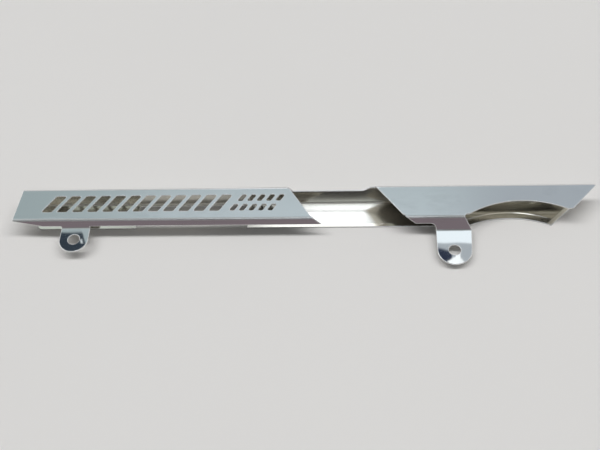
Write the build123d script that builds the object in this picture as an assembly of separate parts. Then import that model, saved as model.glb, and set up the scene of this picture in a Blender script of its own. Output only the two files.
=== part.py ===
from build123d import *
import os
from math import cos, radians, sin, sqrt, tan

# Motorcycle chain guard: one steel sheet, cut flat, folded into an open channel and plated.
# It lies on its inner wall as it comes to rest. X runs from the front end to the rear end,
# where the guard arches over the sprocket. Y runs from the open side to the top wall, and
# Z is up. Sizes are millimetres and degrees. Each wall is cut in its own flat coordinates:
# X along the guard, and y measured across the wall from its fold.

# Sheet and bends
sheet = 1.2                  # thickness of the sheet
inside_radius = 1.5          # inside radius of every bend

# Folded section, measured to the sharp outside corners
inner_width = 28.2           # inner wall, from its free edge to the back corner
channel_height = 21.8        # height of the top corner over the inner wall's underside
top_lean = 5.0               # the top wall leans back from square by this angle
outer_width = 34.6           # outer wall, from the top corner to the lip corner
outer_drop = 3.0             # the outer wall falls towards the lip by this angle
lip_width = 6.6              # lip, from the lip corner to its free edge
lip_bend = 60.0              # the lip is turned down from the outer wall by this angle

# Lengths along the top fold
front_panel = 234.5          # front end to the window
window_length = 75.5         # window between the two panels
rear_panel = 189.0           # window to the rear tip

# Window through the outer wall, the lip and the upper edge of the top wall
window_front_run = 22.0      # slant of its front edge across the outer wall
window_rear_run = 25.8       # slant of its rear edge across the outer wall
window_lip_run = 8.5         # slant of both edges across the lip
window_depth = 6.0           # how far it cuts down into the top wall
window_front_corner = 4.5    # slant of its front end in the top wall
window_rear_corner = 9.3     # slant of its rear end in the top wall

# Free ends
front_slant_run = 3.3        # the front end's lower corner stands ahead of the upper one
lip_front_width = 1.4        # lip left at the front end
lip_taper = 26.3             # length over which the lip grows to its full width
inner_front_setback = 15.4   # inner wall starts this far behind the front end
inner_front_radius = 5.0     # rounded front corner of the inner wall
rear_land = 4.0              # short level edge between the arch and the rear slant
rear_land_width = 27.3       # width of the outer wall at that level edge
rear_slant_run = 22.5        # slant of the outer wall's rear end down to that edge
inner_rear_setback = 8.8     # inner wall ends this far before the rear tip, at the fold
inner_rear_run = 29.0        # slant of the inner wall's rear end

# Sprocket arches
arch_radius = 84.0           # radius of both arches
outer_arch_from_rear = 64.2  # crown of the outer arch before the rear tip
outer_arch_width = 18.6      # width of the outer wall left at the crown
inner_arch_from_rear = 73.4  # crown of the inner arch before the rear tip
inner_arch_width = 20.4      # width of the inner wall left at the crown
lip_rear_run = 6.3           # slant of the lip's rear end beside the rear tab

# Notch in the inner wall
notch_from_front = 104.5
notch_length = 97.6
notch_web = 3.2              # inner wall left beside the back corner
notch_radius = 3.0

# Slanted slots through the outer wall
slot_slant = 33.0            # slots lean to the rear by this angle
slot_radius = 1.2            # rounded slot corners
slot_row_start = 23.8        # front end to the foot of the first long slot
slot_row_length = 160.0      # room for the long slots
slot_top = 9.2               # top fold to the upper end of the slots
slot_height = 17.0           # long slots, across the wall
slot_width = 9.2
slot_gap = 4.1
short_row_length = 42.0      # room for the two rows of short slots behind the long ones
short_slot_height = 6.8
short_slot_width = 4.6
short_slot_gap = 3.6

# Mounting tabs, turned outwards from the lip and parallel to the outer wall
hole_diameter = 10.0
front_tab_from_front = 55.0  # front end to the front hole
front_tab_width = 25.2       # at its fold
front_tab_lip = 8.3          # lip corner to the tab's fold
front_tab_reach = 11.4       # fold to hole
front_tab_radius = front_tab_width / 2   # rounded end about the hole
rear_tab_from_arch = 58.8    # rear hole before the crown of the outer arch
rear_tab_width = 30.3
rear_tab_lip = 12.7
rear_tab_reach = 20.2
rear_tab_radius = 14.4
rear_tab_fillet = 4.8        # hollow corner where the lip runs into the rear tab

# Values that follow from the sizes above
outside_radius = inside_radius + sheet
length = front_slant_run + front_panel + window_length + rear_panel
front_x = -length / 2
rear_x = length / 2
window_front = front_x + front_slant_run + front_panel
window_rear = window_front + window_length
outer_arch_x = rear_x - outer_arch_from_rear
inner_arch_x = rear_x - inner_arch_from_rear
lip_tangent = outside_radius * tan(radians(lip_bend / 2))
top_half_turn = (90 + top_lean + outer_drop) / 2
top_tangent = outside_radius * tan(radians(top_half_turn))
clear = 6.0                  # cutters stand this far outside the sheet
margin = 0.1                 # cutters that stop inside a bend go this far past the sheet
outer_angle = 180 + outer_drop
lip_angle = outer_angle + lip_bend


def across(angle, distance):
    """Step in the section plane, as (Y, Z), at an angle from +Y towards +Z."""
    return Vector(distance * cos(radians(angle)), distance * sin(radians(angle)))


back_corner = Vector(inner_width, 0)
top_corner = Vector(inner_width + channel_height * tan(radians(top_lean)), channel_height)
lip_corner = top_corner + across(outer_angle, outer_width)


def wall_plane(corner, normal_angle):
    """Outside face of a wall: X along the guard, y across the wall from the corner."""
    normal = across(normal_angle, 1)
    return Plane(origin=(0, corner.X, corner.Y), x_dir=(1, 0, 0), z_dir=(0, normal.X, normal.Y))


inner_face = wall_plane(back_corner, -90)
top_face = wall_plane(top_corner, -top_lean)
outer_face = wall_plane(top_corner, outer_angle - 90)
lip_face = wall_plane(lip_corner, lip_angle - 90)


def outline(*points):
    """Closed flat outline through points."""
    return make_face(Polyline(*points, close=True))


def through(face, flat_shape, depth=outside_radius):
    """Cutter that takes a flat shape out of one wall and the bends beside it."""
    return extrude(face.offset(-depth) * flat_shape, depth + clear)


def folded_strip(corners, radii, start_x, width):
    """Sheet folded along corners on its outside face, given as (Y, Z), and run along X."""
    line = FilletPolyline(*corners, radius=radii)
    section = make_face(offset(line, sheet, side=Side.LEFT))
    return Pos(start_x, 0, 0) * extrude(Plane.YZ * section, width)


def channel():
    """The folded sheet before its openings: inner wall, top wall, outer wall and lip."""
    lip_edge = lip_corner + across(lip_angle, lip_width)
    corners = [Vector(0, 0), back_corner, top_corner, lip_corner, lip_edge]
    return folded_strip(corners, outside_radius, front_x, length)


def window_cutters():
    """Window between the panels, through outer wall, lip and the top wall's upper edge."""
    flat = outer_width - lip_tangent
    share = flat / outer_width
    bend_depth = outside_radius - inside_radius * cos(radians(top_half_turn)) + margin
    foot_front = window_front + window_front_run
    foot_rear = window_rear + window_rear_run
    outer_part = outline(
        (window_front, clear),
        (window_front, 0),
        (window_front + window_front_run * share, -flat),
        (window_rear + window_rear_run * share, -flat),
        (window_rear, 0),
        (window_rear, clear),
    )
    lip_part = outline(
        (window_front + window_front_run * share, lip_tangent),
        (foot_front, 0),
        (foot_front + window_lip_run, -lip_width),
        (foot_front + window_lip_run, -lip_width - clear),
        (foot_rear + window_lip_run, -lip_width - clear),
        (foot_rear + window_lip_run, -lip_width),
        (foot_rear, 0),
        (window_rear + window_rear_run * share, lip_tangent),
    )
    top_part = outline(
        (window_front, -clear),
        (window_front, 0),
        (window_front + window_front_corner, window_depth),
        (window_rear - window_rear_corner, window_depth),
        (window_rear, 0),
        (window_rear, -clear),
    )
    return [
        through(outer_face, outer_part, bend_depth),
        through(lip_face, lip_part),
        through(top_face, top_part),
    ]


def slanted_slot(foot_x, foot_y, width, height):
    """Slot with rounded corners that leans to the rear."""
    run = height * tan(radians(slot_slant))
    slot = outline(
        (foot_x, foot_y),
        (foot_x + width, foot_y),
        (foot_x + width + run, foot_y + height),
        (foot_x + run, foot_y + height),
    )
    return fillet(slot.vertices(), slot_radius)


def slot_row(start_x, room, foot_y, width, gap, height):
    """Row of equal slots that fills the room given."""
    count = int((room + gap) // (width + gap))
    return [slanted_slot(start_x + n * (width + gap), foot_y, width, height) for n in range(count)]


def slot_cutters():
    """Row of long slots, then two rows of short ones behind it."""
    long_foot = -slot_top - slot_height
    upper_foot = -slot_top - short_slot_height
    long_start = front_x + slot_row_start
    short_start = long_start + slot_row_length + slot_gap
    upper_start = short_start + (upper_foot - long_foot) * tan(radians(slot_slant))
    slots = slot_row(long_start, slot_row_length, long_foot, slot_width, slot_gap, slot_height)
    for start, foot in ((short_start, long_foot), (upper_start, upper_foot)):
        slots += slot_row(start, short_row_length, foot, short_slot_width, short_slot_gap,
                          short_slot_height)
    return [through(outer_face, slot) for slot in slots]


def arch_edge(width):
    """X of the outer arch's front side where the outer wall has this width."""
    rise = outer_arch_width + arch_radius - width
    return outer_arch_x - sqrt(arch_radius ** 2 - rise ** 2)


def rear_cutters():
    """Sprocket arches and the slanted rear ends of outer, top and inner wall."""
    below = outer_width + clear
    beyond = rear_x + clear
    corner_x = rear_x - rear_slant_run
    flat = outer_width - lip_tangent
    flat_wall = Pos(outer_arch_x, -flat / 2) * Rectangle(2 * arch_radius, flat)
    outer_arch = Pos(outer_arch_x, -outer_arch_width - arch_radius) * Circle(arch_radius)
    outer_end = outline(
        (corner_x - rear_land, -rear_land_width),
        (corner_x, -rear_land_width),
        (rear_x, -top_tangent),
        (beyond, -top_tangent),
        (beyond, -below),
        (corner_x - rear_land, -below),
    )
    inner_end_x = rear_x - inner_rear_setback
    top_end = outline(
        (rear_x, top_tangent),
        (inner_end_x, channel_height - outside_radius),
        (inner_end_x, channel_height + clear),
        (beyond, channel_height + clear),
        (beyond, top_tangent),
    )
    inner_arch = Pos(inner_arch_x, inner_arch_width + arch_radius) * Circle(arch_radius)
    inner_slope = inner_rear_run / inner_width
    inner_end = outline(
        (inner_end_x, -clear),
        (inner_end_x, 0),
        (inner_end_x - inner_slope * (inner_width + clear), inner_width + clear),
        (beyond, inner_width + clear),
        (beyond, -clear),
    )
    return [
        through(outer_face, outer_arch & flat_wall),
        through(outer_face, outer_end),
        through(top_face, top_end),
        through(inner_face, inner_arch),
        through(inner_face, inner_end),
    ]


def front_cutters():
    """Slanted front end, tapered lip, and the set-back ends of top and inner wall."""
    before = front_x - clear
    upper_x = front_x + front_slant_run
    inner_start_x = front_x + inner_front_setback
    outer_part = outline(
        (before, clear),
        (upper_x, clear),
        (upper_x, -top_tangent),
        (front_x, -outer_width),
        (before, -outer_width),
    )
    lip_part = outline(
        (before, -lip_front_width),
        (front_x, -lip_front_width),
        (front_x + lip_taper, -lip_width),
        (front_x + lip_taper, -lip_width - clear),
        (before, -lip_width - clear),
    )
    top_part = outline(
        (before, -clear),
        (upper_x, -clear),
        (upper_x, top_tangent),
        (inner_start_x, channel_height - outside_radius),
        (inner_start_x, channel_height + clear),
        (before, channel_height + clear),
    )
    corner = inner_width - inner_front_radius
    arc_middle = inner_front_radius * (1 - sqrt(0.5))
    inner_line = Polyline(
        (inner_start_x + inner_front_radius, inner_width),
        (inner_start_x + inner_front_radius, inner_width + clear),
        (before, inner_width + clear),
        (before, -clear),
        (inner_start_x, -clear),
        (inner_start_x, corner),
    )
    inner_arc = ThreePointArc(
        (inner_start_x, corner),
        (inner_start_x + arc_middle, inner_width - arc_middle),
        (inner_start_x + inner_front_radius, inner_width),
    )
    inner_part = make_face([*inner_line.edges(), inner_arc])
    return [
        through(outer_face, outer_part),
        through(lip_face, lip_part),
        through(top_face, top_part),
        through(inner_face, inner_part),
    ]


def notch_cutter():
    """Notch in the inner wall, from its free edge almost to the back corner."""
    start_x = front_x + notch_from_front
    notch = outline(
        (start_x, inner_width + clear),
        (start_x, notch_web),
        (start_x + notch_length, notch_web),
        (start_x + notch_length, inner_width + clear),
    )
    bottom = notch.vertices().group_by(Axis.Y)[0]
    return through(inner_face, fillet(bottom, notch_radius))


def tab(hole_x, start_x, width, lip_reach, reach, radius):
    """Mounting tab with its strip of lip, rounded about its hole."""
    fold = lip_corner + across(lip_angle, lip_reach)
    corners = [
        lip_corner + across(lip_angle, lip_width / 2),
        fold,
        fold + across(outer_angle, reach + radius + clear),
    ]
    strip = folded_strip(corners, inside_radius, start_x - width, width * 3)
    face = wall_plane(fold, outer_angle - 90)
    end_circle = Pos(hole_x, -reach) * CenterArc((0, 0), radius, 0, 360)
    fold_line = Line((start_x, 0), (start_x + width, 0))
    lip_strip = Pos(start_x + width / 2, lip_reach / 2) * Rectangle(width, lip_reach)
    shape = make_hull([end_circle, fold_line]) + lip_strip
    height = lip_reach + clear
    blank = strip & extrude(face * shape, height, both=True)
    hole = extrude(face * Pos(hole_x, -reach) * Circle(hole_diameter / 2), height, both=True)
    return blank - hole


def front_tab():
    """Tab near the front end."""
    hole_x = front_x + front_tab_from_front
    start_x = hole_x - front_tab_width / 2
    return tab(hole_x, start_x, front_tab_width, front_tab_lip, front_tab_reach, front_tab_radius)


def rear_tab_end():
    """X where the rear tab's fold ends, in line with the lip's slanted rear end."""
    return arch_edge(outer_width) + lip_rear_run


def rear_tab():
    """Tab beside the sprocket arch, with a hollow corner on its front side."""
    hole_x = outer_arch_x - rear_tab_from_arch
    start_x = rear_tab_end() - rear_tab_width
    plain = tab(hole_x, start_x, rear_tab_width, rear_tab_lip, rear_tab_reach, rear_tab_radius)
    fillet_corner = Pos(start_x, -lip_width)
    hollow = fillet_corner * Pos(-rear_tab_fillet, -rear_tab_fillet) * Circle(rear_tab_fillet)
    middle = Pos(-rear_tab_fillet / 2, -rear_tab_fillet / 2)
    square = fillet_corner * middle * Rectangle(rear_tab_fillet, rear_tab_fillet)
    return plain + extrude(lip_face * (square - hollow), -sheet)


def lip_rear_cutter():
    """Slanted rear end of the lip, which runs on into the rear tab's side."""
    beyond = rear_x + clear
    return through(lip_face, outline(
        (arch_edge(outer_width - lip_tangent), lip_tangent),
        (arch_edge(outer_width), 0),
        (rear_tab_end(), -rear_tab_lip),
        (beyond, -rear_tab_lip),
        (beyond, lip_tangent),
    ))


def chain_guard():
    """The whole guard, moved so that the middle of its footprint is the origin."""
    openings = window_cutters() + slot_cutters() + [notch_cutter()]
    ends = rear_cutters() + front_cutters()
    guard = channel() - (openings + ends)
    guard += [front_tab(), rear_tab()]
    guard -= lip_rear_cutter()
    box = guard.bounding_box()
    return Pos(-box.center().X, -box.center().Y, -box.min.Z) * guard


guard = chain_guard()
os.makedirs("parts", exist_ok=True)
export_step(guard, "parts/chain_guard.step")
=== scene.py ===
"""Looks of a motorcycle chain guard: one folded steel sheet in polished chrome plate.

The guard lies on its inner wall on a pale studio floor. Lengths are metres in the part's own
frame: X runs along the guard to its rear end, Y from the open side to the top wall, Z up.
"""
from collections import namedtuple
from math import cos, hypot, pi, radians, sin, tan

import bmesh
import bpy
from bpy.props import FloatProperty, FloatVectorProperty, IntProperty, PointerProperty
from mathutils import Matrix, Vector


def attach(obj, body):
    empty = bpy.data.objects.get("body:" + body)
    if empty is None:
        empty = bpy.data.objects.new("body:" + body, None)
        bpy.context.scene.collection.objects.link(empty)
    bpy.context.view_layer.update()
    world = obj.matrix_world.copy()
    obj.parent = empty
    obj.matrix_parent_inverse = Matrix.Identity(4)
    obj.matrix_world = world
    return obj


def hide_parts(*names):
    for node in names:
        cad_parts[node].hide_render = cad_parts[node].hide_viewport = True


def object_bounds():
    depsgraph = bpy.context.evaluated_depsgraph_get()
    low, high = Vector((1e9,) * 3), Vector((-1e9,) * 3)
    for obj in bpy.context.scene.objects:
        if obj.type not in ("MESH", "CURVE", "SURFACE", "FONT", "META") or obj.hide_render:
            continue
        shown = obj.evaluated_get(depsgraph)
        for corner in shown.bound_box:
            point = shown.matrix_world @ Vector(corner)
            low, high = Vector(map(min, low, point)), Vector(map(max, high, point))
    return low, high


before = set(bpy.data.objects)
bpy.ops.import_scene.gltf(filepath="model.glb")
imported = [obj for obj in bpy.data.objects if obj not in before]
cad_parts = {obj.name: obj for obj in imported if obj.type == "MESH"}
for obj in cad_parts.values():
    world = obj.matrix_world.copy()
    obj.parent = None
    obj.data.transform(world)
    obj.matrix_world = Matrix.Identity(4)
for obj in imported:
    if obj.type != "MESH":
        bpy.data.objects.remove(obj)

bl_info = {
    "name": "Chain guard looks",
    "version": (1, 0, 0),
    "blender": (4, 5, 0),
    "location": "3D View > Sidebar > Chain guard",
    "description": "Dresses a folded chain guard in chrome plate and sets it in a pale studio",
    "category": "Object",
}

GUARD_NODE = "chain_guard"
MILLIMETRE = 0.001
CAD_LOW, CAD_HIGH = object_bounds()

# A flat card of light or shade around the studio, as the plate mirrors it. Angles are degrees:
# azimuth from +Y towards +X, elevation above the floor, and half sizes to the middle of the
# soft edge.
Card = namedtuple("Card", "name azimuth elevation half_width half_height tilt soft colour")

CARDS = (
    Card("ceiling glow", -3, 60, 24, 5, 0, 9, (0.66, 0.75, 0.82)),
    Card("ceiling past the rear end", 27, 54, 13, 7, 0, 6, (0.44, 0.49, 0.545)),
    Card("softbox behind the guard", -5.3, 48.5, 7.7, 4.5, 0, 0.35, (2.30, 2.35, 2.55)),
    Card("window past the front end", -95, 36, 40, 28, 0, 8, (1.05, 1.12, 1.18)),
    Card("near side of the room", 180, 40, 80, 45, 0, 8, (0.35, 0.35, 0.36)),
    Card("dark panel on the near wall", 180, 29.6, 60, 11.7, 0, 0.6, (0.03, 0.03, 0.034)),
    Card("skirting of the near wall", 180, 1, 80, 5, 0, 2, (0.21, 0.175, 0.195)),
    Card("screen beside the camera", -149, 50, 10, 6, 0, 1, (0.82, 0.92, 0.90)),
    Card("screen past the camera", 152, 50, 14, 5, 0, 1, (0.66, 0.63, 0.57)),
    Card("lit panel on the near wall", 180, 50.4, 9, 6.4, 0, 0.8, (0.98, 1.10, 1.20)),
    Card("lamp on the lit panel", 180, 51.5, 9, 2.4, 0, 0.6, (2.4, 2.45, 2.5)),
    Card("softbox over the camera", 180, 61.5, 8, 3.4, 0, 0.8, (3.0, 3.2, 3.8)),
    Card("strip lamp at the rear", 13, 57.9, 4, 0.5, -5.6, 0.05, (1.04, 1.15, 1.23)),
    Card("grey panel at the rear", 13, 59.4, 4, 0.98, -5.6, 0.05, (0.47, 0.52, 0.57)),
    Card("dark beam at the rear", 10.6, 60.3, 2.75, 1.4, 0, 0.08, (0.035, 0.045, 0.08)),
    Card("lamp past the beam", 13.94, 60.06, 0.9, 0.9, 56, 0.08, (1.22, 1.28, 1.32)),
    Card("second lamp past the beam", 14.95, 59.82, 0.62, 0.34, 28, 0.08, (1.12, 1.18, 1.22)),
    Card("strip lamp at the front", -30.8, 53.7, 3, 0.3, 16, 0.05, (0.62, 0.70, 0.75)),
    Card("dark beam at the front", -32.2, 54.70, 1.85, 0.85, 16, 0.06, (0.04, 0.055, 0.075)),
    Card("gap in the front beam", -30.72, 54.78, 0.12, 0.15, 16, 0.04, (0.75, 0.82, 0.86)),
)

# Colour of the room between the cards, from the floor's level to straight up, by elevation in
# degrees.
ROOM_COLOURS = {
    0: (0.52, 0.52, 0.53),
    25: (0.67, 0.675, 0.68),
    46: (0.70, 0.715, 0.725),
    50: (0.38, 0.46, 0.485),
    90: (0.46, 0.52, 0.535),
}

# Folded section of the part, from the free edge of the inner wall round to the lip. Widths are
# measured to the sharp outside corners, and the bend radius is the outside one.
NEAR_EDGE_Y = 7.46 * MILLIMETRE
INNER_WIDTH = 28.2 * MILLIMETRE
CHANNEL_HEIGHT = 21.8 * MILLIMETRE
OUTER_WIDTH = 34.6 * MILLIMETRE
TOP_LEAN = radians(5)
OUTER_DROP = radians(3)
LIP_BEND = radians(60)
SHEET = 1.2 * MILLIMETRE
BEND_RADIUS = 2.7 * MILLIMETRE

# Corners of the section, as (Y, Z), and the angle from +Y towards +Z at which each wall's outside
# faces.
BACK_CORNER = (NEAR_EDGE_Y + INNER_WIDTH, 0.0)
TOP_CORNER = (BACK_CORNER[0] + CHANNEL_HEIGHT * tan(TOP_LEAN), CHANNEL_HEIGHT)
LIP_CORNER = (
    TOP_CORNER[0] - OUTER_WIDTH * cos(OUTER_DROP),
    TOP_CORNER[1] - OUTER_WIDTH * sin(OUTER_DROP),
)
CREASE_CORNER = (BACK_CORNER[0] - SHEET, BACK_CORNER[1] + SHEET)
INNER_FACING = radians(-90)
TOP_FACING = -TOP_LEAN
OUTER_FACING = radians(90) + OUTER_DROP
LIP_FACING = OUTER_FACING + LIP_BEND

# A name that ends in BEGINS or ENDS holds the two values between which a mask softly rises, or
# falls off. The plainer inside begins at the middle of the sheet's thickness. Its inner wall ends
# and its outer wall begins at a height. A mask round a corner ends near its full reach.
INSIDE_BEGINS = (-0.45 * SHEET, -0.55 * SHEET)
INNER_WALL_ENDS = (2.64 * MILLIMETRE, 2.16 * MILLIMETRE)
OUTER_WALL_BEGINS = (14.4 * MILLIMETRE, 16.8 * MILLIMETRE)
CORNER_ENDS = (1.1, 0.8)

# Height of the middle of the top wall's bow.
BOW_MIDDLE = 8.5 * MILLIMETRE

# Slanted rear end of the inner wall: X at the back corner, and how far X falls for each step in Y
# towards the open side.
REAR_SETBACK = 8.8 * MILLIMETRE
REAR_RUN = 29.0 * MILLIMETRE
REAR_END_X = CAD_HIGH[0] - REAR_SETBACK
REAR_END_SLOPE = REAR_RUN / INNER_WIDTH

# X where the roll of the inner wall's near edge runs out beside the window.
NEAR_ROLL_ENDS = (0.084, 0.062)

# Bead beside the arch of the inner wall. The arch is a round cut that leaves a web of the wall at
# its crown, and the bead runs out towards the rear.
ARCH_RADIUS = 84.0 * MILLIMETRE
ARCH_FROM_REAR = 73.4 * MILLIMETRE
ARCH_WEB = 20.4 * MILLIMETRE
ARCH_CENTRE = (CAD_HIGH[0] - ARCH_FROM_REAR, BACK_CORNER[0] - ARCH_WEB - ARCH_RADIUS)
BEAD_FROM_ARCH = 6.7 * MILLIMETRE
BEAD_RADIUS = ARCH_RADIUS + BEAD_FROM_ARCH
BEAD_WIDTH = 0.9 * MILLIMETRE
BEAD_ENDS = (0.216, 0.204)

# X of the hazy patch on the inner wall behind the window. It begins in a point at one Y, and its
# front slants from there towards the back and towards the open side.
HAZE_BEGINS = (0.0515, 0.0585)
HAZE_ENDS = (0.10, 0.13)
HAZE_POINT_Y = 0.0255
HAZE_SLANTS = (1.75, -0.5)

# X where painted shade begins on the walls above that patch, which it covers as far as the patch goes,
# and where painted shade lies on the outer wall before the window.
PAINTED_SHADE_BEGINS = (0.057, 0.071)
SHADE_BEGINS = (-0.10, -0.06)
SHADE_ENDS = (0.004, 0.012)

# Y where finger marks begin on the outside, and X where dust begins inside the front half.
FILM_BEGINS = (-0.004, 0.004)
DUST_BEGINS = (-0.02, -0.07)

# Noise in cells to the metre. A squeeze under 1 draws it out along that axis. Patches and streaks
# of finger marks begin at a level of their noise.
Grain = namedtuple("Grain", "scale detail roughness squeeze")

EVEN = (1.0, 1.0, 1.0)
FILM_PATCHES = Grain(28, 3, 0.5, EVEN)
PATCH_BEGINS = (0.46, 0.68)
FILM_STREAKS = Grain(160, 3, 0.6, (0.5, 1.3, 1.0))
STREAK_BEGINS = (0.30, 0.62)
POLISHING_LINES = Grain(900, 2, 0.5, (0.02, 1.0, 1.0))
SHEET_WAVES = Grain(22, 1, 0.4, EVEN)
FLOOR_MOTTLE = Grain(3, 2, 0.5, EVEN)
NOISE_MIDDLE = 0.5

# The floor's darker mottling, as a share of its colour, and its matt finish.
FLOOR_SHADE = 0.97
FLOOR_ROUGHNESS = 0.75
FLOOR_SPECULAR = 0.2

# Width of the camera's sensor in millimetres.
SENSOR_WIDTH = 36.0

# Faces that meet at less than the flat angle are one flat face. A face whose sharp edges are closer
# than the cut width lies on a cut edge. It is marked by its material index while the edges are
# rounded, and by the attribute after that.
FLAT_ANGLE = radians(0.3)
CUT_WIDTH = 1.5 * SHEET
PLATE_INDEX = 0
CUT_INDEX = 1
EDGE_MASK = "cut_edge"

# Sockets of a Mix node for numbers and for colours: factor, first value, second value, result.
MIX_SOCKETS = {"FLOAT": (0, 2, 3, 0), "RGBA": (0, 6, 7, 2)}


class GuardPlateSettings(bpy.types.PropertyGroup):
    """Finish of the plated sheet."""

    edge_radius: FloatProperty(
        name="Edge radius",
        description="Rounding that deburring and plating leave on the cut edges",
        default=0.5 * MILLIMETRE,
        unit="LENGTH",
    )
    edge_steps: IntProperty(
        name="Edge steps",
        description="Faces across a rounded edge",
        default=3,
    )
    weld_distance: FloatProperty(
        name="Weld distance",
        description="Corners closer than this are welded before the edges are rounded",
        default=0.07 * MILLIMETRE,
        unit="LENGTH",
    )
    sharp_angle: FloatProperty(
        name="Sharp angle",
        description="Edges that turn by more than this are cut edges, and others belong to a bend",
        default=radians(30),
        subtype="ANGLE",
    )
    plate_colour: FloatVectorProperty(
        name="Plate colour",
        description="Colour of clean chrome plate",
        default=(0.78, 0.78, 0.765),
        subtype="COLOR",
    )
    film_colour: FloatVectorProperty(
        name="Film colour",
        description="Colour of the plate under a film of finger marks",
        default=(0.71, 0.71, 0.695),
        subtype="COLOR",
    )
    clean_roughness: FloatProperty(
        name="Clean roughness",
        description="Roughness of clean plate",
        default=0.02,
        subtype="FACTOR",
    )
    film_roughness: FloatProperty(
        name="Film roughness",
        description="Roughness of plate under finger marks",
        default=0.12,
        subtype="FACTOR",
    )
    film_amount: FloatProperty(
        name="Film amount",
        description="Share of the full film that finger marks leave",
        default=0.6,
        subtype="FACTOR",
    )
    line_roughness: FloatProperty(
        name="Line roughness",
        description="How far the fine lines of the polishing belt change the roughness",
        default=0.02,
        subtype="FACTOR",
    )
    wave_height: FloatProperty(
        name="Wave height",
        description="Height of the slow waves that stay in a pressed and plated sheet",
        default=0.02 * MILLIMETRE,
        unit="LENGTH",
    )
    inside_colour: FloatVectorProperty(
        name="Inside colour",
        description="Colour inside the channel, where the chrome is thin and nickel shows through",
        default=(0.71, 0.695, 0.635),
        subtype="COLOR",
    )
    inside_roughness: FloatProperty(
        name="Inside roughness",
        description="Roughness inside the channel, which is plated without polishing",
        default=0.12,
        subtype="FACTOR",
    )
    inside_metal: FloatProperty(
        name="Inside metal",
        description="Share of the mirror inside the channel, beside a dull grey",
        default=0.97,
        subtype="FACTOR",
    )
    dusty_metal: FloatProperty(
        name="Dusty metal",
        description="Share of the mirror inside the front half, where dust stays under the slots",
        default=0.86,
        subtype="FACTOR",
    )
    # Painted shade: this colour darkens what the top and outer walls' insides mirror beside and before
    # the window.
    painted_shade_colour: FloatVectorProperty(
        name="Dark colour",
        description="Colour of the top and outer walls' insides beside the window, under grease",
        default=(0.30, 0.295, 0.285),
        subtype="COLOR",
    )
    # Partly painted: grease dulls the inner wall behind the window, and this dark olive tint is
    # painted shade and painted reflection on that patch.
    grease_and_painted_reflection_colour: FloatVectorProperty(
        name="Hazy colour",
        description="Colour of the inner wall behind the window, under grease",
        default=(0.46, 0.42, 0.335),
        subtype="COLOR",
    )
    hazy_roughness: FloatProperty(
        name="Hazy roughness",
        description="Roughness of the inner wall behind the window, where grease dulls the plate",
        default=0.26,
        subtype="FACTOR",
    )
    hazy_metal: FloatProperty(
        name="Hazy metal",
        description="Share of the mirror on the inner wall behind the window, beside a dull grey",
        default=0.90,
        subtype="FACTOR",
    )
    cut_colour: FloatVectorProperty(
        name="Cut colour",
        description="Colour of the cut edges, which are deburred and stay satin",
        default=(0.92, 0.92, 0.91),
        subtype="COLOR",
    )
    cut_roughness: FloatProperty(
        name="Cut roughness",
        description="Roughness of the cut edges",
        default=0.24,
        subtype="FACTOR",
    )
    cut_metal: FloatProperty(
        name="Cut metal",
        description="Share of the mirror on the cut edges, beside a dull grey",
        default=0.75,
        subtype="FACTOR",
    )
    end_roll: FloatProperty(
        name="End roll",
        description="Width over which shearing rolled the inner wall's rear end down",
        default=3.8 * MILLIMETRE,
        unit="LENGTH",
    )
    end_tilt: FloatProperty(
        name="End tilt",
        description="Angle of that roll",
        default=radians(21),
        subtype="ANGLE",
    )
    near_roll: FloatProperty(
        name="Near roll",
        description="Width over which shearing rolled the inner wall's near edge down",
        default=3.6 * MILLIMETRE,
        unit="LENGTH",
    )
    near_tilt: FloatProperty(
        name="Near tilt",
        description="Angle of that roll",
        default=radians(39),
        subtype="ANGLE",
    )
    bead_tilt: FloatProperty(
        name="Bead tilt",
        description="Angle of the bead's side that looks towards the arch",
        default=radians(39),
        subtype="ANGLE",
    )
    crease_roughness: FloatProperty(
        name="Crease roughness",
        description="Roughness in the crease between the inner wall and the top wall",
        default=0.45,
        subtype="FACTOR",
    )
    fold_roughness: FloatProperty(
        name="Fold roughness",
        description="Roughness on the outside of the folds, where bending stretched the plate",
        default=0.28,
        subtype="FACTOR",
    )
    wall_bow: FloatProperty(
        name="Wall bow",
        description="Rise of the top wall's inside that folding leaves",
        default=0.22 * MILLIMETRE,
        unit="LENGTH",
    )


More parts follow.
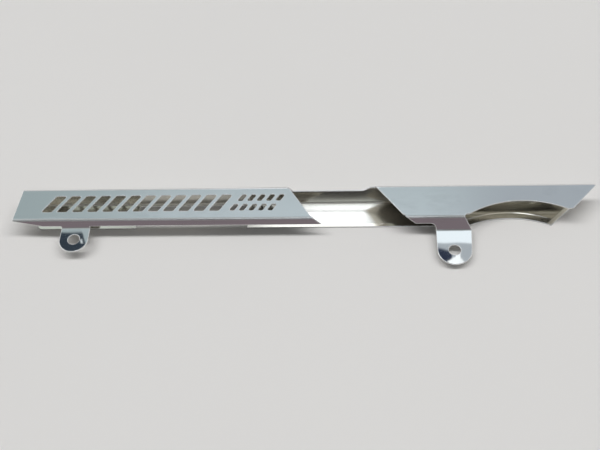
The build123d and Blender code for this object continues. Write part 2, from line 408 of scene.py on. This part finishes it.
class GuardStudioSettings(bpy.types.PropertyGroup):
    """Floor, light and camera."""

    floor_colour: FloatVectorProperty(
        name="Floor colour",
        description="Colour of the studio floor",
        default=(0.80, 0.79, 0.775),
        subtype="COLOR",
    )
    floor_size: FloatProperty(
        name="Floor size",
        description="Length of the floor's sides",
        default=40.0,
        unit="LENGTH",
    )
    backdrop_colour: FloatVectorProperty(
        name="Backdrop colour",
        description="Colour behind the floor",
        default=(0.80, 0.80, 0.795),
        subtype="COLOR",
    )
    room_light: FloatProperty(
        name="Room light",
        description="Even light from all sides on dull surfaces",
        default=0.21,
    )
    key_strength: FloatProperty(
        name="Key strength",
        description="Strength on the floor of the row of soft lights overhead",
        default=2.0,
    )
    key_count: IntProperty(
        name="Key count",
        description="Lights in that row, which runs along the guard",
        default=7,
        min=2,
    )
    key_reach: FloatProperty(
        name="Key reach",
        description="Angle from straight overhead to either end of the row",
        default=radians(38),
        subtype="ANGLE",
    )
    key_lean: FloatProperty(
        name="Key lean",
        description="Angle from straight overhead to the row, towards the back of the guard",
        default=radians(2.5),
        subtype="ANGLE",
    )
    key_spread: FloatProperty(
        name="Key spread",
        description="Width of each light, as the guard sees it",
        default=radians(13),
        subtype="ANGLE",
    )
    camera_elevation: FloatProperty(
        name="Camera elevation",
        description="Angle at which the camera looks down",
        default=radians(51.69),
        subtype="ANGLE",
    )
    camera_heading: FloatProperty(
        name="Camera heading",
        description="Turn of the camera's view from +Y towards -X",
        default=radians(5),
        subtype="ANGLE",
    )
    camera_roll: FloatProperty(
        name="Camera roll",
        description="Turn of the picture about the line of sight",
        default=radians(-4.41),
        subtype="ANGLE",
    )
    camera_distance: FloatProperty(
        name="Camera distance",
        description="From the camera to the point it looks at",
        default=0.7635,
        unit="LENGTH",
    )
    camera_target: FloatVectorProperty(
        name="Camera target",
        description="Point on the floor in the middle of the picture",
        default=(-0.00266, 0.01082, 0.0),
        subtype="TRANSLATION",
    )
    camera_lens: FloatProperty(
        name="Camera lens",
        description="Focal length in millimetres on a 36 mm wide sensor",
        default=52.44,
        subtype="DISTANCE_CAMERA",
    )


def deselect_all():
    """Leave nothing selected, so that an operator acts on its own piece only."""
    if bpy.context.object and bpy.context.object.mode != "OBJECT":
        bpy.ops.object.mode_set(mode="OBJECT")
    bpy.ops.object.select_all(action="DESELECT")


def make_active(piece):
    """Select one piece alone."""
    deselect_all()
    piece.select_set(True)
    bpy.context.view_layer.objects.active = piece


def add_node(tree, kind, **values):
    """New node with its attributes set."""
    node = tree.nodes.new(kind)
    for name, value in values.items():
        setattr(node, name, value)
    return node


def feed(tree, socket, value):
    """Link a socket to an output, or set it to a plain value. A plain colour is opaque."""
    if isinstance(value, bpy.types.NodeSocket):
        tree.links.new(value, socket)
    elif socket.type == "RGBA":
        socket.default_value = (*value, 1.0)
    else:
        socket.default_value = value


def maths(tree, operation, *values):
    """Math node on outputs or numbers, returned as its output."""
    node = add_node(tree, "ShaderNodeMath", operation=operation)
    for socket, value in zip(node.inputs, values):
        feed(tree, socket, value)
    return node.outputs[0]


def split_axes(tree, vector):
    """X, Y and Z of a vector, by name."""
    node = add_node(tree, "ShaderNodeSeparateXYZ")
    feed(tree, node.inputs[0], vector)
    return node.outputs


def length_of(tree, first, second):
    """Length of a vector, from its two parts at right angles."""
    square = maths(tree, "MULTIPLY", second, second)
    return maths(tree, "SQRT", maths(tree, "MULTIPLY_ADD", first, first, square))


def soft_step(tree, value, start, end):
    """Smooth rise from 0 at start to 1 at end."""
    node = add_node(tree, "ShaderNodeMapRange", interpolation_type="SMOOTHSTEP")
    feed(tree, node.inputs["Value"], value)
    feed(tree, node.inputs["From Min"], start)
    feed(tree, node.inputs["From Max"], end)
    return node.outputs["Result"]


def layered(tree, kind, base, *layers):
    """A number or colour that is covered by layers in turn, each given as (mask, value)."""
    *sockets, result = MIX_SOCKETS[kind]
    for mask, value in layers:
        node = add_node(tree, "ShaderNodeMix", data_type=kind)
        for socket, given in zip(sockets, (mask, base, value)):
            feed(tree, node.inputs[socket], given)
        base = node.outputs[result]
    return base


def noise(tree, vector, grain):
    """Noise over a piece."""
    mapping = add_node(tree, "ShaderNodeMapping")
    feed(tree, mapping.inputs["Vector"], vector)
    mapping.inputs["Scale"].default_value = grain.squeeze
    node = add_node(tree, "ShaderNodeTexNoise")
    feed(tree, node.inputs["Vector"], mapping.outputs["Vector"])
    node.inputs["Scale"].default_value = grain.scale
    node.inputs["Detail"].default_value = grain.detail
    node.inputs["Roughness"].default_value = grain.roughness
    return node.outputs["Fac"]


def stacked_bumps(tree, *bumps):
    """Normal of bumps laid over one another, each given as (height, distance)."""
    normal = None
    for height, distance in bumps:
        bump = add_node(tree, "ShaderNodeBump")
        bump.inputs["Strength"].default_value = 1.0
        bump.inputs["Distance"].default_value = distance
        feed(tree, bump.inputs["Height"], height)
        if normal:
            feed(tree, bump.inputs["Normal"], normal)
        normal = bump.outputs["Normal"]
    return normal


def new_group(name, numbers, results):
    """Shader node group that turns a vector and named numbers into named results."""
    group = bpy.data.node_groups.new(name, "ShaderNodeTree")
    group.interface.new_socket("Vector", in_out="INPUT", socket_type="NodeSocketVector")
    for label in numbers:
        group.interface.new_socket(label, in_out="INPUT", socket_type="NodeSocketFloat")
    for label in results:
        group.interface.new_socket(label, in_out="OUTPUT", socket_type="NodeSocketFloat")
    entry = add_node(group, "NodeGroupInput")
    leave = add_node(group, "NodeGroupOutput")
    return group, entry.outputs, leave.inputs


def place_group(tree, group, **values):
    """Results of a group placed in a tree and fed by name, with spaces written as _."""
    node = add_node(tree, "ShaderNodeGroup", node_tree=group)
    for name, value in values.items():
        feed(tree, node.inputs[name.replace("_", " ")], value)
    return node.outputs


def film_group():
    """Film left by handling: soft patches broken up by finer streaks."""
    group, given, result = new_group("Handling film", ["Amount"], ["Mask"])
    patches = soft_step(group, noise(group, given["Vector"], FILM_PATCHES), *PATCH_BEGINS)
    streaks = soft_step(group, noise(group, given["Vector"], FILM_STREAKS), *STREAK_BEGINS)
    broken = maths(group, "MULTIPLY", patches, streaks)
    feed(group, result["Mask"], maths(group, "MULTIPLY", broken, given["Amount"]))
    return group


def noise_group(name, grain):
    """Group that puts out one plain noise."""
    group, given, result = new_group(name, [], ["Noise"])
    feed(group, result["Noise"], noise(group, given["Vector"], grain))
    return group


def past_wall(tree, axes, corner, facing, margin=0.0):
    """Distance past a wall's outside face, or past a line that lies deeper by a margin."""
    level = corner[0] * cos(facing) + corner[1] * sin(facing) - margin
    aside = maths(tree, "MULTIPLY_ADD", axes["Y"], cos(facing), -level)
    return maths(tree, "MULTIPLY_ADD", axes["Z"], sin(facing), aside)


def around_corner(tree, axes, corner, reach):
    """Mask of what lies within reach of a corner of the section."""
    aside = maths(tree, "SUBTRACT", axes["Y"], corner[0])
    above = maths(tree, "SUBTRACT", axes["Z"], corner[1])
    fade = [share * reach for share in CORNER_ENDS]
    return soft_step(tree, length_of(tree, aside, above), *fade)


def inside_mask(tree, axes):
    """Mask of the channel's inside, which lies deeper than the middle of the sheet."""
    below, above, behind = [
        maths(tree, "MAXIMUM", past_wall(tree, axes, corner, facing, BEND_RADIUS), 0.0)
        for corner, facing in (
            (BACK_CORNER, INNER_FACING),
            (TOP_CORNER, OUTER_FACING),
            (TOP_CORNER, TOP_FACING),
        )
    ]
    beyond_bends = length_of(tree, maths(tree, "MAXIMUM", below, above), behind)
    past_walls = maths(tree, "SUBTRACT", beyond_bends, BEND_RADIUS)
    past_lip = past_wall(tree, axes, LIP_CORNER, LIP_FACING)
    return soft_step(tree, maths(tree, "MAXIMUM", past_walls, past_lip), *INSIDE_BEGINS)


def fold_mask(tree, axes):
    """Mask of the two folds of the outer wall."""
    top_turn = OUTER_FACING - TOP_FACING
    top_fold = around_corner(tree, axes, TOP_CORNER, BEND_RADIUS * tan(top_turn / 2))
    lip_fold = around_corner(tree, axes, LIP_CORNER, BEND_RADIUS * tan(LIP_BEND / 2))
    return maths(tree, "MAXIMUM", top_fold, lip_fold)


def bow_height(tree, axes, inside):
    """Bow of the top wall's inside: 1 in its middle, and less towards the folds."""
    across = maths(tree, "DIVIDE", maths(tree, "SUBTRACT", axes["Z"], BOW_MIDDLE), BOW_MIDDLE)
    fall = maths(tree, "MULTIPLY", maths(tree, "MULTIPLY", across, across), inside)
    return maths(tree, "SUBTRACT", 1.0, fall)


def past_rear_end(tree, axes):
    """Distance past the slanted rear end of the inner wall."""
    slant = hypot(1.0, REAR_END_SLOPE)
    level = (REAR_END_X - REAR_END_SLOPE * BACK_CORNER[0]) / slant
    along = maths(tree, "MULTIPLY_ADD", axes["X"], 1 / slant, -level)
    return maths(tree, "MULTIPLY_ADD", axes["Y"], -REAR_END_SLOPE / slant, along)


def roll_height(tree, past_edge, width, wall):
    """Rolled edge of a wall: 1 on the wall, and 0 at the edge, after an even fall."""
    rolled = maths(tree, "ADD", maths(tree, "DIVIDE", past_edge, width), 1.0)
    fall = maths(tree, "MULTIPLY", maths(tree, "MAXIMUM", rolled, 0.0), wall)
    return maths(tree, "SUBTRACT", 1.0, fall)


def bead_height(tree, axes, wall):
    """Step of the bead along the arch: 1 behind it, and 0 on the arch's side of it."""
    along = maths(tree, "SUBTRACT", axes["X"], ARCH_CENTRE[0])
    across = maths(tree, "SUBTRACT", axes["Y"], ARCH_CENTRE[1])
    past_bead = maths(tree, "SUBTRACT", BEAD_RADIUS, length_of(tree, along, across))
    step = maths(tree, "MINIMUM", maths(tree, "DIVIDE", past_bead, BEAD_WIDTH), 1.0)
    fall = maths(tree, "MULTIPLY", maths(tree, "MAXIMUM", step, 0.0), wall)
    kept = maths(tree, "MULTIPLY", fall, soft_step(tree, axes["X"], *BEAD_ENDS))
    return maths(tree, "SUBTRACT", 1.0, kept)


def haze_mask(tree, axes, wall):
    """Mask of the hazy patch on the inner wall, with its pointed front: grease, whose colour also
    carries painted shade and painted reflection.
    """
    aside = maths(tree, "SUBTRACT", axes["Y"], HAZE_POINT_Y)
    sides = [maths(tree, "MULTIPLY", aside, slant) for slant in HAZE_SLANTS]
    pointed = maths(tree, "SUBTRACT", axes["X"], maths(tree, "MAXIMUM", *sides))
    begun = soft_step(tree, pointed, *HAZE_BEGINS)
    patch = maths(tree, "SUBTRACT", begun, soft_step(tree, axes["X"], *HAZE_ENDS))
    return maths(tree, "MULTIPLY", patch, wall)


def painted_shade_mask(tree, axes, walls):
    """Mask of painted shade on the insides of the top and outer walls, beside the window and before
    it.
    """
    beside, before = [
        maths(tree, "SUBTRACT", soft_step(tree, axes["X"], *begins), soft_step(tree, axes["X"], *ends))
        for begins, ends in ((PAINTED_SHADE_BEGINS, HAZE_ENDS), (SHADE_BEGINS, SHADE_ENDS))
    ]
    shade = maths(tree, "MULTIPLY", before, soft_step(tree, axes["Z"], *OUTER_WALL_BEGINS))
    return maths(tree, "MULTIPLY", maths(tree, "MAXIMUM", beside, shade), walls)


def channel_group():
    """Masks of the channel's inside, folds, grease and painted shade, and the bump heights of its
    small forms.
    """
    group, given, result = new_group(
        "Channel",
        ["End roll", "Near roll"],
        ["Inside", "Fold", "Crease", "Haze", "Painted shade", "Bow", "End", "Near", "Bead"],
    )
    axes = split_axes(group, given["Vector"])
    inside = inside_mask(group, axes)
    inner_wall = maths(group, "MULTIPLY", soft_step(group, axes["Z"], *INNER_WALL_ENDS), inside)
    other_walls = maths(group, "SUBTRACT", inside, inner_wall)
    crease = around_corner(group, axes, CREASE_CORNER, SHEET)
    rear_end = past_rear_end(group, axes)
    near_edge = maths(group, "SUBTRACT", NEAR_EDGE_Y, axes["Y"])
    near_wall = maths(group, "MULTIPLY", inner_wall, soft_step(group, axes["X"], *NEAR_ROLL_ENDS))
    for label, value in (
        ("Inside", inside),
        ("Fold", fold_mask(group, axes)),
        ("Crease", maths(group, "MULTIPLY", crease, inside)),
        ("Haze", haze_mask(group, axes, inner_wall)),
        ("Painted shade", painted_shade_mask(group, axes, other_walls)),
        ("Bow", bow_height(group, axes, inside)),
        ("End", roll_height(group, rear_end, given["End roll"], inner_wall)),
        ("Near", roll_height(group, near_edge, given["Near roll"], near_wall)),
        ("Bead", bead_height(group, axes, inner_wall)),
    ):
        feed(group, result[label], value)
    return group


def plate_masks(tree, settings):
    """Masks and bump heights of the plate, by name."""
    place = add_node(tree, "ShaderNodeTexCoord").outputs["Object"]
    axes = split_axes(tree, place)
    channel = place_group(
        tree, channel_group(), Vector=place, End_roll=settings.end_roll, Near_roll=settings.near_roll
    )
    handled = maths(tree, "MULTIPLY", soft_step(tree, axes["Y"], *FILM_BEGINS), settings.film_amount)
    lines = noise_group("Polishing lines", POLISHING_LINES)
    waves = noise_group("Sheet waves", SHEET_WAVES)
    return {
        **dict(channel.items()),
        "Film": place_group(tree, film_group(), Vector=place, Amount=handled)["Mask"],
        "Lines": place_group(tree, lines, Vector=place)["Noise"],
        "Waves": place_group(tree, waves, Vector=place)["Noise"],
        "Dust": soft_step(tree, axes["X"], *DUST_BEGINS),
        "Cut": add_node(tree, "ShaderNodeAttribute", attribute_name=EDGE_MASK).outputs["Fac"],
    }


def plate_colour(tree, settings, masks):
    """Clean plate under finger marks, the nickel of the inside, painted shade on its top and outer
    walls, grease tinted with painted shade and painted reflection on its inner wall, and the cut
    edges.
    """
    return layered(
        tree,
        "RGBA",
        settings.plate_colour,
        (masks["Film"], settings.film_colour),
        (masks["Inside"], settings.inside_colour),
        # Painted shade, darkening what the top and outer walls' insides mirror.
        (masks["Painted shade"], settings.painted_shade_colour),
        # Grease, with a dark olive tint of painted shade and painted reflection.
        (masks["Haze"], settings.grease_and_painted_reflection_colour),
        (masks["Cut"], settings.cut_colour),
    )


def plate_roughness(tree, settings, masks):
    """Polished outside with satin folds, plainer inside with grease and a crease, and cut edges."""
    clean = layered(tree, "FLOAT", settings.clean_roughness, (masks["Film"], settings.film_roughness))
    centred = maths(tree, "SUBTRACT", masks["Lines"], NOISE_MIDDLE)
    inside = layered(
        tree,
        "FLOAT",
        settings.inside_roughness,
        (masks["Haze"], settings.hazy_roughness),
        (masks["Crease"], settings.crease_roughness),
    )
    return layered(
        tree,
        "FLOAT",
        maths(tree, "MULTIPLY_ADD", centred, settings.line_roughness, clean),
        (masks["Fold"], settings.fold_roughness),
        (masks["Inside"], inside),
        (masks["Cut"], settings.cut_roughness),
    )


def plate_metal(tree, settings, masks):
    """Full mirror outside, and a duller one under dust and grease inside and on the cut edges."""
    inside = layered(
        tree,
        "FLOAT",
        settings.inside_metal,
        (masks["Dust"], settings.dusty_metal),
        (masks["Haze"], settings.hazy_metal),
    )
    return layered(tree, "FLOAT", 1.0, (masks["Inside"], inside), (masks["Cut"], settings.cut_metal))


def plate_normal(tree, settings, masks):
    """Slow waves, the bow of the top wall, the rolled edges of the inner wall and its bead."""
    return stacked_bumps(
        tree,
        (masks["Waves"], settings.wave_height),
        (masks["Bow"], settings.wall_bow),
        (masks["End"], settings.end_roll * tan(settings.end_tilt)),
        (masks["Near"], settings.near_roll * tan(settings.near_tilt)),
        (masks["Bead"], BEAD_WIDTH * tan(settings.bead_tilt)),
    )


def chrome_material(settings):
    """Chrome plate, polished on the outside and plain on the inside of the channel."""
    material = bpy.data.materials.new("polished_chrome")
    material.use_nodes = True
    tree = material.node_tree
    shader = tree.nodes["Principled BSDF"]
    masks = plate_masks(tree, settings)
    for socket, look in (
        ("Base Color", plate_colour),
        ("Roughness", plate_roughness),
        ("Metallic", plate_metal),
        ("Normal", plate_normal),
    ):
        feed(tree, shader.inputs[socket], look(tree, settings, masks))
    return material


def mark_cut_faces(mesh, sharp_angle):
    """Give the faces across the sheet's thickness the cut index.

    Such a face is no wider than the sheet between the sharp edges along it.
    """
    work = bmesh.new()
    work.from_mesh(mesh)
    for face in work.faces:
        sharp_edges = [edge for edge in face.edges if edge.calc_face_angle(0.0) > sharp_angle]
        sharp_length = sum(edge.calc_length() for edge in sharp_edges)
        if 2 * face.calc_area() < CUT_WIDTH * sharp_length:
            face.material_index = CUT_INDEX
    work.to_mesh(mesh)
    work.free()


def keep_cut_mask(mesh):
    """Turn the cut index into the mask attribute of the cut edges."""
    cut = [float(face.material_index == CUT_INDEX) for face in mesh.polygons]
    mask = mesh.attributes.new(EDGE_MASK, "FLOAT", "FACE")
    mask.data.foreach_set("value", cut)
    for face in mesh.polygons:
        face.material_index = PLATE_INDEX
    mesh.materials.clear()


def rounded_sheet(settings):
    """The folded sheet with its cut edges rounded, made from a welded copy of the CAD sheet."""
    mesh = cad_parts[GUARD_NODE].data.copy()
    piece = bpy.data.objects.new("plated_sheet", mesh)
    bpy.context.scene.collection.objects.link(piece)
    mesh.materials.clear()
    for index in (PLATE_INDEX, CUT_INDEX):
        mesh.materials.append(None)
    make_active(piece)
    bpy.ops.object.mode_set(mode="EDIT")
    bpy.ops.mesh.select_all(action="SELECT")
    bpy.ops.mesh.customdata_custom_splitnormals_clear()
    bpy.ops.mesh.remove_doubles(threshold=settings.weld_distance)
    bpy.ops.mesh.dissolve_limited(angle_limit=FLAT_ANGLE)
    bpy.ops.mesh.select_all(action="DESELECT")
    bpy.ops.object.mode_set(mode="OBJECT")
    mark_cut_faces(mesh, settings.sharp_angle)
    rounding = piece.modifiers.new("Rounded edges", "BEVEL")
    rounding.width = settings.edge_radius
    rounding.segments = settings.edge_steps
    rounding.limit_method = "ANGLE"
    rounding.angle_limit = settings.sharp_angle
    rounding.use_clamp_overlap = False
    rounding.miter_outer = "MITER_ARC"
    rounding.material = CUT_INDEX
    bpy.ops.object.modifier_apply(modifier=rounding.name)
    keep_cut_mask(mesh)
    bpy.ops.object.shade_smooth_by_angle(angle=settings.sharp_angle)
    flats = piece.modifiers.new("Flat walls", "WEIGHTED_NORMAL")
    flats.keep_sharp = True
    bpy.ops.object.modifier_apply(modifier=flats.name)
    return piece


def card_group():
    """Mask of one studio card in the direction of a ray."""
    group, given, result = new_group(
        "Studio card",
        ["Azimuth", "Elevation", "Half width", "Half height", "Tilt", "Soft"],
        ["Mask"],
    )
    ray = split_axes(group, given["Vector"])
    azimuth = maths(group, "ARCTAN2", ray["X"], ray["Y"])
    elevation = maths(group, "ARCSINE", ray["Z"])
    turned = maths(group, "SUBTRACT", azimuth, given["Azimuth"])
    level = add_node(group, "ShaderNodeCombineXYZ")
    feed(group, level.inputs["X"], maths(group, "WRAP", turned, pi, -pi))
    feed(group, level.inputs["Y"], maths(group, "SUBTRACT", elevation, given["Elevation"]))
    spin = add_node(group, "ShaderNodeVectorRotate", rotation_type="Z_AXIS", invert=True)
    feed(group, spin.inputs["Vector"], level.outputs[0])
    feed(group, spin.inputs["Angle"], given["Tilt"])
    local = split_axes(group, spin.outputs[0])
    across, upward = [
        soft_step(
            group,
            maths(group, "ABSOLUTE", local[axis]),
            maths(group, "ADD", given[half], given["Soft"]),
            maths(group, "SUBTRACT", given[half], given["Soft"]),
        )
        for axis, half in (("X", "Half width"), ("Y", "Half height"))
    ]
    feed(group, result["Mask"], maths(group, "MULTIPLY", across, upward))
    return group


def room_colour(tree, height):
    """Colour of the room without its cards, by the height of a ray's direction.

    A new ramp already has its lowest and its highest stop.
    """
    node = add_node(tree, "ShaderNodeValToRGB")
    stops = node.color_ramp.elements
    for elevation in list(ROOM_COLOURS)[1:-1]:
        stops.new(sin(radians(elevation)))
    for stop, colour in zip(stops, ROOM_COLOURS.values()):
        stop.color = (*colour, 1.0)
    feed(tree, node.inputs["Fac"], height)
    return node.outputs["Color"]


def studio_world(settings):
    """Plain even light for dull surfaces, and a room of soft cards for the plate to mirror."""
    world = bpy.data.worlds.new("studio")
    world.use_nodes = True
    tree = world.node_tree
    direction = add_node(tree, "ShaderNodeTexCoord").outputs["Generated"]
    room = room_colour(tree, split_axes(tree, direction)["Z"])
    group = card_group()
    for card in CARDS:
        mask = place_group(
            tree,
            group,
            Vector=direction,
            Azimuth=radians(card.azimuth),
            Elevation=radians(card.elevation),
            Half_width=radians(card.half_width),
            Half_height=radians(card.half_height),
            Tilt=radians(card.tilt),
            Soft=radians(card.soft),
        )["Mask"]
        room = layered(tree, "RGBA", room, (mask, card.colour))
    path = add_node(tree, "ShaderNodeLightPath").outputs
    even_light = (settings.room_light,) * 3
    seen = layered(
        tree,
        "RGBA",
        room,
        (path["Is Diffuse Ray"], even_light),
        (path["Is Camera Ray"], settings.backdrop_colour),
    )
    feed(tree, tree.nodes["Background"].inputs["Color"], seen)
    bpy.context.scene.world = world


def floor_material(settings):
    """Pale matt floor with a trace of mottling."""
    material = bpy.data.materials.new("pale_floor")
    material.use_nodes = True
    tree = material.node_tree
    shader = tree.nodes["Principled BSDF"]
    place = add_node(tree, "ShaderNodeTexCoord").outputs["Object"]
    shade = tuple(FLOOR_SHADE * part for part in settings.floor_colour)
    mottled = layered(tree, "RGBA", shade, (noise(tree, place, FLOOR_MOTTLE), settings.floor_colour))
    feed(tree, shader.inputs["Base Color"], mottled)
    shader.inputs["Roughness"].default_value = FLOOR_ROUGHNESS
    shader.inputs["Specular IOR Level"].default_value = FLOOR_SPECULAR
    return material


def studio_camera(settings):
    """Camera at the viewing angle of the picture."""
    data = bpy.data.cameras.new("studio_camera")
    data.sensor_width = SENSOR_WIDTH
    data.lens = settings.camera_lens
    camera = bpy.data.objects.new("studio_camera", data)
    bpy.context.scene.collection.objects.link(camera)
    heading, elevation = settings.camera_heading, settings.camera_elevation
    sight = Vector((-sin(heading) * cos(elevation), cos(heading) * cos(elevation), -sin(elevation)))
    level = Vector((cos(heading), sin(heading), 0.0))
    upright = level.cross(sight)
    turn = Matrix.Rotation(settings.camera_roll, 3, sight)
    axes = Matrix((turn.inverted() @ level, turn.inverted() @ upright, -sight)).transposed()
    place = Vector(settings.camera_target) - sight * settings.camera_distance
    camera.matrix_world = Matrix.Translation(place) @ axes.to_4x4()
    bpy.context.scene.camera = camera


def key_lights(settings):
    """Row of even soft lights overhead, as from a long strip of lamps above the guard."""
    last = settings.key_count - 1
    sides = [settings.key_reach * (2 * place / last - 1) for place in range(settings.key_count)]
    strength = settings.key_strength / sum(cos(side) for side in sides)
    for side in sides:
        data = bpy.data.lights.new("key_light", "SUN")
        data.energy = strength
        data.angle = settings.key_spread
        lamp = bpy.data.objects.new("key_light", data)
        bpy.context.scene.collection.objects.link(lamp)
        lamp.location = (sin(side), sin(settings.key_lean), cos(side))
        lamp.rotation_euler = (-lamp.location).to_track_quat("-Z", "Y").to_euler()
        lamp.visible_glossy = False


class GUARD_OT_plated_sheet(bpy.types.Operator):
    """Build the folded sheet with rounded edges and give it its chrome plate"""

    bl_idname = "guard.plated_sheet"
    bl_label = "Plated sheet"

    def execute(self, context):
        settings = context.scene.guard_plate
        piece = rounded_sheet(settings)
        piece.data.materials.append(chrome_material(settings))
        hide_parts(GUARD_NODE)
        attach(piece, "root")
        return {"FINISHED"}


class GUARD_OT_studio(bpy.types.Operator):
    """Lay the pale floor and set the light and the camera"""

    bl_idname = "guard.studio"
    bl_label = "Studio"

    def execute(self, context):
        settings = context.scene.guard_studio
        deselect_all()
        bpy.ops.mesh.primitive_plane_add(size=settings.floor_size)
        floor = context.object
        floor.name = "studio_floor"
        floor.data.materials.append(floor_material(settings))
        studio_world(settings)
        key_lights(settings)
        studio_camera(settings)
        context.scene.view_settings.view_transform = "Standard"
        return {"FINISHED"}


class GUARD_PT_looks(bpy.types.Panel):
    """Chain guard looks, in the 3D view's sidebar"""

    bl_idname = "GUARD_PT_looks"
    bl_label = "Chain guard"
    bl_space_type = "VIEW_3D"
    bl_region_type = "UI"
    bl_category = "Chain guard"

    def draw(self, context):
        layout = self.layout
        for operator, settings in (
            (GUARD_OT_plated_sheet, context.scene.guard_plate),
            (GUARD_OT_studio, context.scene.guard_studio),
        ):
            layout.operator(operator.bl_idname)
            for name in settings.__annotations__:
                layout.prop(settings, name)


CLASSES = (
    GuardPlateSettings,
    GuardStudioSettings,
    GUARD_OT_plated_sheet,
    GUARD_OT_studio,
    GUARD_PT_looks,
)


def register():
    for cls in CLASSES:
        bpy.utils.register_class(cls)
    bpy.types.Scene.guard_plate = PointerProperty(type=GuardPlateSettings)
    bpy.types.Scene.guard_studio = PointerProperty(type=GuardStudioSettings)


def unregister():
    del bpy.types.Scene.guard_studio
    del bpy.types.Scene.guard_plate
    for cls in reversed(CLASSES):
        bpy.utils.unregister_class(cls)


def main():
    register()
    bpy.ops.guard.plated_sheet()
    bpy.ops.guard.studio()


if __name__ == "__main__":
    main()
